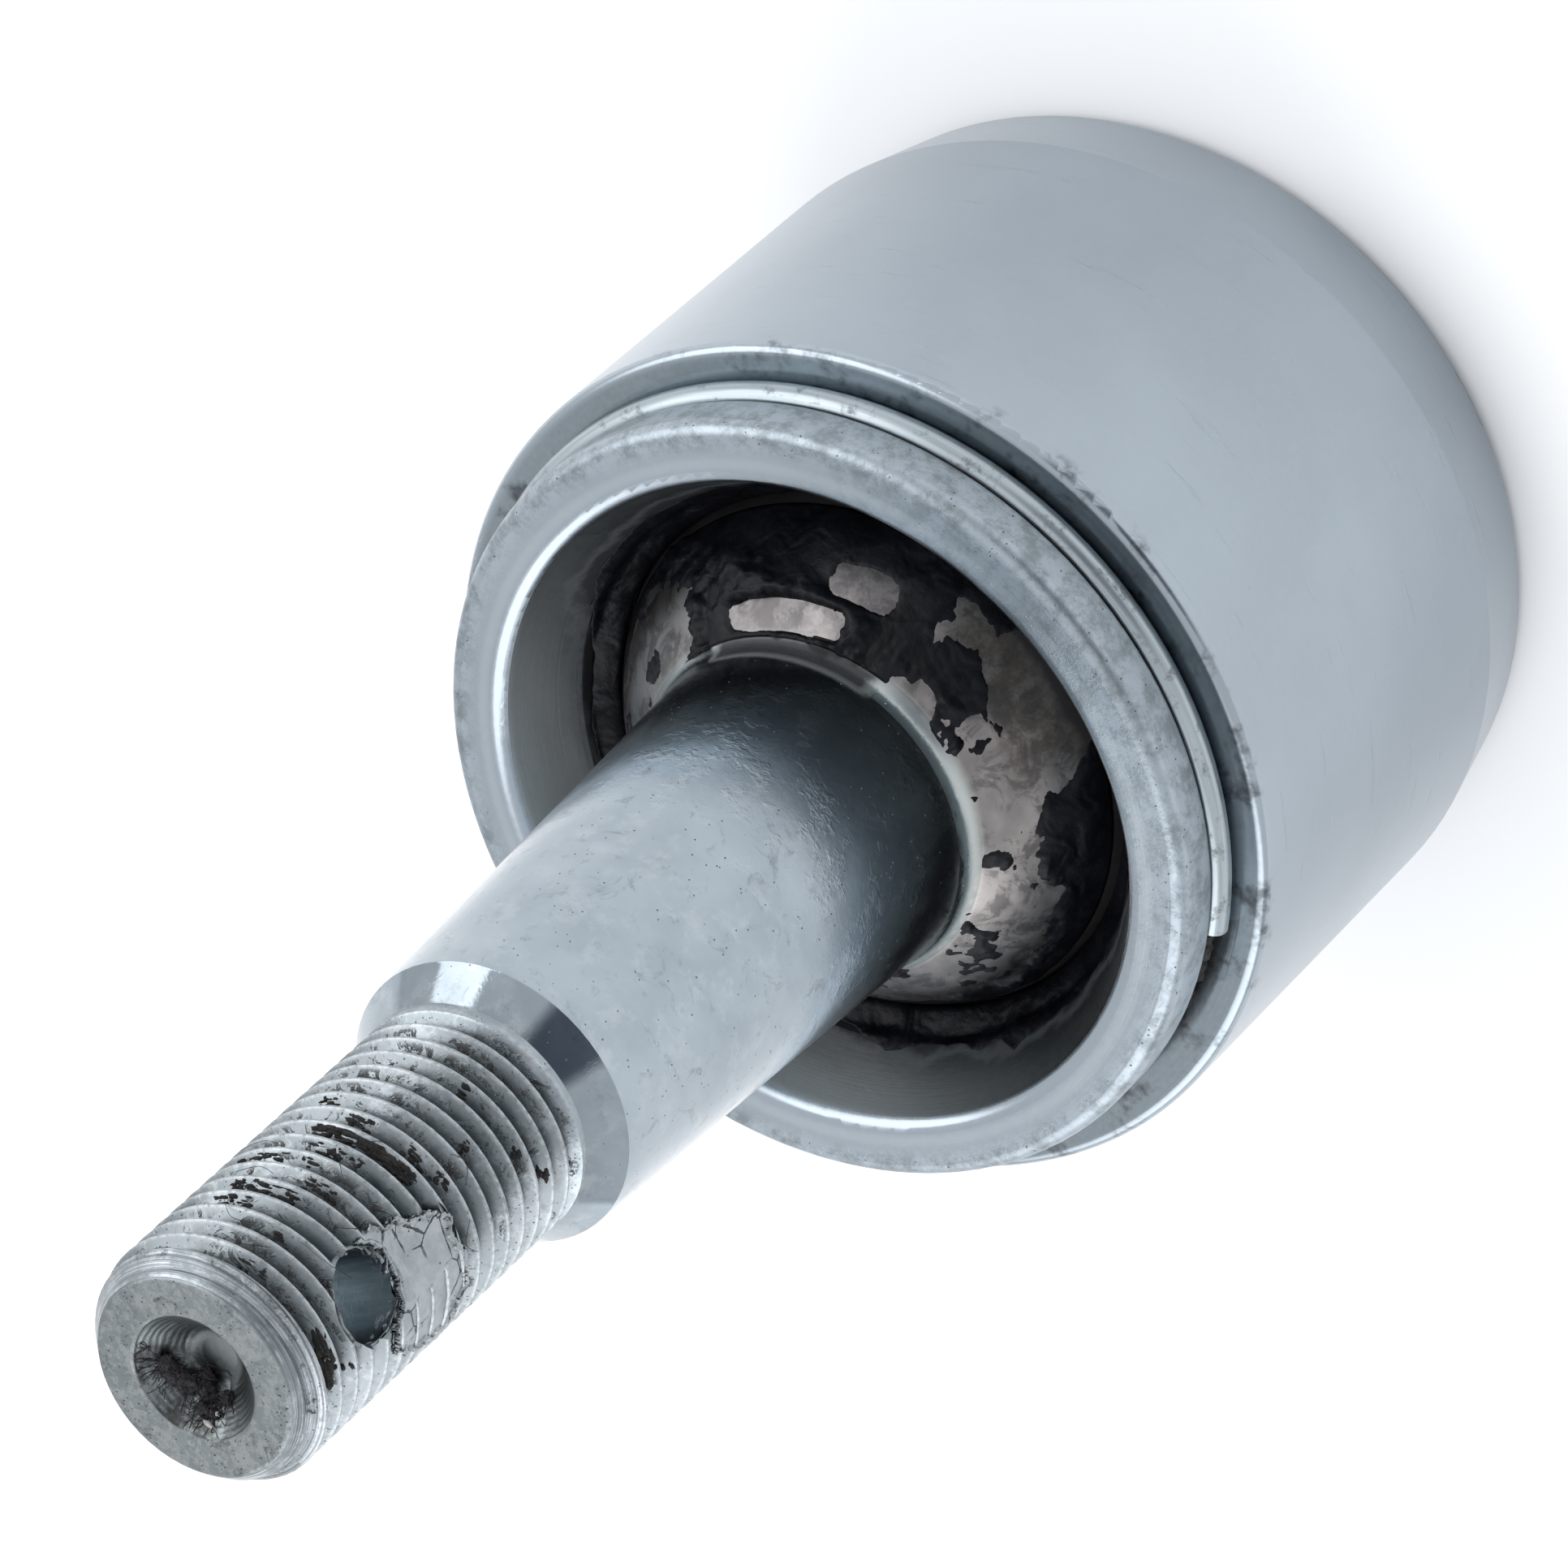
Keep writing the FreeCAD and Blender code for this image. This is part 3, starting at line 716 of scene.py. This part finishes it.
def make_thread_dirt():
    """Crumbs packed between the threads, thickest on one side."""
    rng = random.Random(7)
    crumb_half_lengths = ((0.05, 0.13), (0.08, 0.36), (0.05, 0.12))
    # each patch: its two azimuths, its level, how many threes of crumbs it has, and their scale
    patches = [
        (-138, -112, 63.9, 14, 1.3), (-78, -60, 64.0, 5, 0.7), (-136, -134, 62.3, 2, 1.1),
        (-70, -66, 60.7, 2, 0.9), (-45, -25, 60.5, 6, 0.9), (-60, -27, 59.1, 14, 1.0),
        (-74, -56, 57.5, 7, 0.8), (-53, -47, 56.3, 3, 0.8), (-70, -45, 55.0, 9, 0.9),
        (-88, -37, 53.5, 30, 1.25), (-60, -46, 52.3, 7, 0.9), (-102, -75, 52.1, 9, 1.0),
        (-97, -93, 49.5, 2, 1.0), (-78, -76, 46.8, 2, 1.1), (-115, -111, 46.6, 3, 0.8),
        (-135, -130, 45.5, 3, 1.1), (-40, -10, 56.5, 7, 0.8), (-35, -15, 51.0, 5, 0.8),
        (20, 70, 58.0, 8, 0.9), (100, 160, 52.0, 9, 0.9), (60, 130, 47.5, 7, 0.8),
    ]
    lumps = []
    for low, high, level, count, scale in patches:
        for _ in range(count * 3):
            around = rng.uniform(low, high)
            root = root_near((low + high) / 2, level)
            root += PITCH * (around - (low + high) / 2) / 360.0
            share = rng.uniform(0.2, 0.9)
            radius = min(ROOT_R + share * 0.75, 5.75)
            height = root - 0.05 - share * 0.55
            aside = math.radians(around - PIN_HOLE_SIDE) * THREAD_MIDDLE_R
            if math.hypot(aside, height - PIN_HOLE_Z) < PIN_HOLE_R + 0.6:
                continue
            size = [rng.uniform(*ends) * scale for ends in crumb_half_lengths]
            lumps.append((ring_point(radius, around, height), size, around, rng.uniform(0, 50)))
    piece = make_lumps("thread_dirt", lumps, subdivisions=2)
    return finish_piece(piece, "stud", dirt_paint)


def dish_level(radius):
    """Level of the centre recess's surface at a radius."""
    return TIP_Z - min(RECESS_DEPTH, max(0.0, (RECESS_R - radius) * RECESS_SLOPE))


def curl(rng, start, heading, length, steps=6):
    """Points of a fibre that wanders from start along heading, kept in the recess."""
    points, here = [start.copy()], start.copy()
    direction = heading.normalized()
    for _ in range(steps):
        kick = Vector([rng.uniform(-1, 1) for _ in range(3)])
        direction = (direction + kick * 0.8).normalized()
        here = here + direction * (length / steps)
        radius = math.hypot(here.x, here.y)
        here.z = min(max(here.z, dish_level(radius) + 0.04), TIP_Z - 0.03)
        if radius > RECESS_R - 0.15:
            inward = (RECESS_R - 0.15) / radius
            here.x, here.y = here.x * inward, here.y * inward
        points.append(here.copy())
    return points


def make_centre_fluff():
    """Dark fluff caught on one side of the tip's centre recess, with pale flakes in it."""
    rng = random.Random(23)
    spots = [
        (1.25, 1.60, 64.35, 0.42), (0.70, 1.80, 64.25, 0.52), (0.05, 1.72, 64.05, 0.60),
        (-0.85, 1.40, 63.95, 0.50), (-1.25, 1.75, 64.45, 0.36), (-1.60, 0.75, 63.95, 0.34),
        (-1.75, 1.45, 64.45, 0.30), (-0.35, 1.05, 63.60, 0.34),
    ]
    lumps, paths = [], []
    for k, (x, y, z, size) in enumerate(spots):
        middle = Vector((x, y, z))
        lumps.append((middle, (size, size * 0.85, size * 0.7), 0.0, 31.0 + k))
        for _ in range(30):
            heading = Vector([rng.uniform(-1, 1) for _ in range(3)])
            start = middle + heading.normalized() * size * 0.6
            fibre = curl(rng, start, heading, rng.uniform(0.4, 1.2))
            paths.append((fibre, rng.uniform(0.010, 0.018)))
    for x, y, z in ((2.2, 1.3, 64.7), (2.3, 1.5, 64.8), (1.9, 1.9, 64.8)):
        for _ in range(3):
            heading = Vector((rng.uniform(-0.5, 1), rng.uniform(0, 1), rng.uniform(-0.2, 0.6)))
            paths.append((curl(rng, Vector((x, y, z)), heading, 1.6, 8), 0.014))
    finish_piece(make_lumps("centre_fluff", lumps, 4), "stud", fluff)
    finish_piece(make_fibres("centre_fibres", paths), "stud", fluff)
    flakes = [
        ((-1.50, 1.60, 64.45), (0.22, 0.14, 0.10), 30.0, 3.0),
        ((-1.85, 1.25, 64.50), (0.16, 0.12, 0.08), 80.0, 5.0),
        ((-1.95, 1.75, 64.80), (0.30, 0.16, 0.07), 10.0, 8.0),
    ]
    finish_piece(make_lumps("centre_flakes", flakes), "stud", pale_flake())


def make_stray_lint():
    """Single hairs lying over the thread."""
    rng = random.Random(5)
    paths = []
    for around, level in (
        (-60, 62.5), (-47, 61.0), (-90, 60.4), (-35, 57.5), (-97, 56.0), (-105, 63.6),
        (-58, 55.2), (-70, 53.0), (-128, 52.0), (-82, 58.3), (-20, 55.0), (-100, 50.5),
    ):
        span = rng.uniform(6.0, 13.0)
        bend, tilt = rng.uniform(-0.5, 0.5), rng.uniform(-1.0, 1.0)
        points = []
        for k in range(6):
            t = k / 5 - 0.5
            height = min(level + tilt * t + bend * math.cos(t * 5.0), TIP_Z - 1.5)
            points.append(ring_point(THREAD_R + 0.03, around + span * 2 * t, height))
        paths.append((points, rng.uniform(0.010, 0.016)))
    return finish_piece(make_fibres("stray_lint", paths), "stud", fluff)


def hole_frame():
    """Outward, sideways and upward directions at the split-pin hole's mouth."""
    outward = ring_point(1.0, PIN_HOLE_SIDE, 0.0)
    return outward, Vector((-outward.y, outward.x, 0.0)), Vector((0, 0, 1))


def make_hole_burr():
    """Torn edge round the split-pin hole's mouth, with flakes at its upper side."""
    outward, side, up = hole_frame()
    deselect()
    bpy.ops.mesh.primitive_torus_add(
        major_radius=1.0, minor_radius=0.1, major_segments=160, minor_segments=10
    )
    burr = bpy.context.object
    for vertex in burr.data.vertices:
        ring = math.hypot(vertex.co.x, vertex.co.y)
        angle = math.atan2(vertex.co.y, vertex.co.x)
        rag = noise.noise(Vector((math.cos(angle), math.sin(angle), 2.0)) * 4.0)
        spike = max(0.0, noise.noise(Vector((math.cos(angle), math.sin(angle), 5.0)) * 9.0))
        torn = swell(math.degrees(angle), 120.0, 75.0)
        across = (ring - 1.0) * 1.1 + (PIN_HOLE_R + 0.07) - torn * spike * 1.3
        height = vertex.co.z * (1.2 + torn) + rag * 0.08 + torn * spike * 0.5
        sideways, rise = math.cos(angle) * across, math.sin(angle) * across
        surface = math.sqrt(BURR_R ** 2 - min(abs(sideways), BURR_R - 0.12) ** 2)
        place = outward * (surface + height) - side * sideways + up * (PIN_HOLE_Z - rise)
        vertex.co = place * MM
    burr.data.update()
    turn_outward()
    piece = begin("pin_hole_burr")
    return finish_piece(piece, "stud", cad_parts["ball_stud"].data.materials[0])


def smeared_zinc():
    """Crushed thread metal: pale, dull, with fine open cracks."""
    f = Finish("smeared_zinc")
    cloud, grain = f.noise(0.6, 4.0, 0.7), f.noise(3.5, 5.0, 0.7)
    colour = cloud.rise(0.3, 0.7).mix(tint(0.250, 0.275, 0.290), tint(0.360, 0.385, 0.400))
    crack = f.wire.node(
        "TexVoronoi",
        {"feature": "DISTANCE_TO_EDGE"},
        {"Vector": f.place, "Scale": 0.62, "Randomness": 1.0},
        output="Distance",
    )
    crack = (crack + f.noise(1.6, 4.0, 0.7) * 0.12 - 0.06).fall(0.012, 0.035)
    crack = crack * f.noise(0.5, 3.0).rise(0.45, 0.55)
    colour = (crack * 0.85).mix(colour, tint(0.03, 0.03, 0.032))
    grime = f.specks(2.6, 0.15, 0.5)
    colour = (grime * 0.8).mix(colour, tint(0.04, 0.04, 0.042))
    height = grain * 0.5 + cloud * 0.8 - crack * 3.0 - grime * 1.5
    return f.close(colour, 0.30 + grain * 0.15, 1.0, f.bump(height, 0.02))


def make_smeared_metal():
    """Land of crushed thread beside the split-pin hole, torn round its border."""
    deselect()
    bpy.ops.mesh.primitive_grid_add(x_subdivisions=190, y_subdivisions=150, size=2 * MM)
    piece = begin("smeared_metal")

    def inside(around, level):
        """Distance in mm inside the land's ragged border, below 0 outside."""
        left = -96.0 - 4.0 * (56.4 - level)
        right = -166.0 + max(0.0, level - 54.6) * 4.0
        gaps = (
            (left - around) * LAND_MM_PER_DEGREE, (around - right) * LAND_MM_PER_DEGREE,
            level - LAND_LOW, LAND_HIGH - level,
        )
        side = math.sin(math.radians(around - PIN_HOLE_SIDE)) * THREAD_MIDDLE_R
        hole = math.hypot(side, level - PIN_HOLE_Z) - PIN_HOLE_R - 0.12
        ragged = Vector((around * 0.1, level, 4.0))
        tear = 0.45 * wobble(ragged, 0.7, 2.0) + 0.15 * wobble(ragged, 2.6, 7.0)
        return min(min(gaps) + tear, hole + 0.5 * tear + 0.1)

    def lay(point):
        around = LAND_SIDE + point.x * LAND_HALF_TURN
        level = LAND_Z + point.y * LAND_HALF_HEIGHT
        edge = inside(around, level)
        lean = math.radians(around - PIN_HOLE_SIDE)
        off = math.hypot(THREAD_MIDDLE_R * math.sin(lean), level - CRUSH_Z)
        crush = (CRUSH_FLOOR + CRUSH_RISE * min(1.0, off / CRUSH_R)) / math.cos(lean)
        radius = min(LAND_R, crush + 0.05) if off < CRUSH_R else LAND_R
        spot = ring_point(radius, around, level)
        radius += 0.05 * wobble(spot, 0.8, 3.0) + 0.16 * swell(edge, 0.06, 0.22)
        radius -= 0.35 if edge < 0 else 0.0
        return ring_point(radius, around, level)

    sculpt(piece, lay)

    def outside(place):
        turn = math.degrees(math.atan2(place.y, place.x))
        return inside(turn, place.z) < 0

    put_away(piece, outside)
    apply_modifier(piece, "SOLIDIFY", thickness=0.3 * MM, offset=-1.0)
    turn_outward()
    return finish_piece(piece, "stud", smeared_zinc())


CAMERA_PLACE = Vector((7.32, -298.3, 335.07))
CAMERA_RIGHT = Vector((-0.66635, -0.55335, -0.49977))
CAMERA_LOOK = Vector((-0.01293, 0.67874, -0.73427))
SENSOR_WIDTH, LENS = 36.0, 214.31
FLOOR_SIZE = 8.0
LAMP_DISTANCE, LAMP_SIZE, LAMP_WATTS = 1.2, 1.2, 7.0
ROOM_STRENGTH = 1.04
DARK_END = Vector((-0.066, -0.873, 0.481))
DARK_END_CORE, DARK_END_EDGE = 15.0, 27.0


def add_camera():
    """A long lens looking down past the stud's tip into the mouth."""
    data = bpy.data.cameras.new("camera")
    data.sensor_width, data.lens = SENSOR_WIDTH, LENS
    data.clip_start, data.clip_end = 0.01, 10.0
    camera = bpy.data.objects.new("camera", data)
    bpy.context.scene.collection.objects.link(camera)
    right = CAMERA_RIGHT.normalized()
    forward = (CAMERA_LOOK - right * CAMERA_LOOK.dot(right)).normalized()
    turn = Matrix((right, right.cross(forward), -forward)).transposed()
    place = Matrix.Translation(CAMERA_PLACE * MM)
    camera.matrix_world = place @ turn.to_4x4()
    bpy.context.scene.camera = camera


def add_floor():
    """Plain pale floor under the cartridge's back."""
    bpy.ops.mesh.primitive_plane_add(size=FLOOR_SIZE, location=(0, 0, BACK_Z * MM))
    floor = begin("floor")
    f = Finish("pale_floor")
    shade = f.noise(0.02, 2.0).mix(tint(0.92, 0.925, 0.93), tint(0.94, 0.945, 0.95))
    floor.data.materials.append(f.close(shade, 0.8, 0.0))


def add_light(name, azimuth, elevation):
    """A round soft lamp that faces the ball from a direction in degrees."""
    data = bpy.data.lights.new(name, "AREA")
    data.shape, data.size, data.energy = "DISK", LAMP_SIZE, LAMP_WATTS
    lamp = bpy.data.objects.new(name, data)
    bpy.context.scene.collection.objects.link(lamp)
    a, e = math.radians(azimuth), math.radians(elevation)
    out = Vector((math.cos(a) * math.cos(e), math.sin(a) * math.cos(e), math.sin(e)))
    lamp.location = out * LAMP_DISTANCE
    lamp.rotation_mode = "QUATERNION"
    lamp.rotation_quaternion = out.to_track_quat("Z", "Y")


def add_surroundings():
    """White room, with the darker end that faces the front of the object."""
    world = bpy.data.worlds.new("studio")
    world.use_nodes = True
    background = world.node_tree.nodes["Background"]
    wire = Wire(world.node_tree)
    way = wire.node("TexCoord", {}, {}, output="Generated")
    facing = wire.node(
        "VectorMath",
        {"operation": "DOT_PRODUCT"},
        {0: way, 1: DARK_END.normalized()},
        output="Value",
    )
    dim = facing.rise(
        math.cos(math.radians(DARK_END_EDGE)), math.cos(math.radians(DARK_END_CORE))
    )
    colour = dim.mix(tint(0.97, 0.98, 1.0), tint(0.16, 0.18, 0.22))
    world.node_tree.links.new(colour.socket, background.inputs["Color"])
    background.inputs["Strength"].default_value = ROOM_STRENGTH
    bpy.context.scene.world = world


make_ball_grease()
make_mouth_grease()
make_groove_dirt()
make_thread_dirt()
make_centre_fluff()
make_stray_lint()
make_hole_burr()
make_smeared_metal()

deselect()
add_camera()
add_floor()
add_surroundings()
add_light("right_softbox", 3.0, 38.0)
add_light("back_softbox", 142.0, 40.0)
bpy.context.scene.view_settings.view_transform = "Standard"
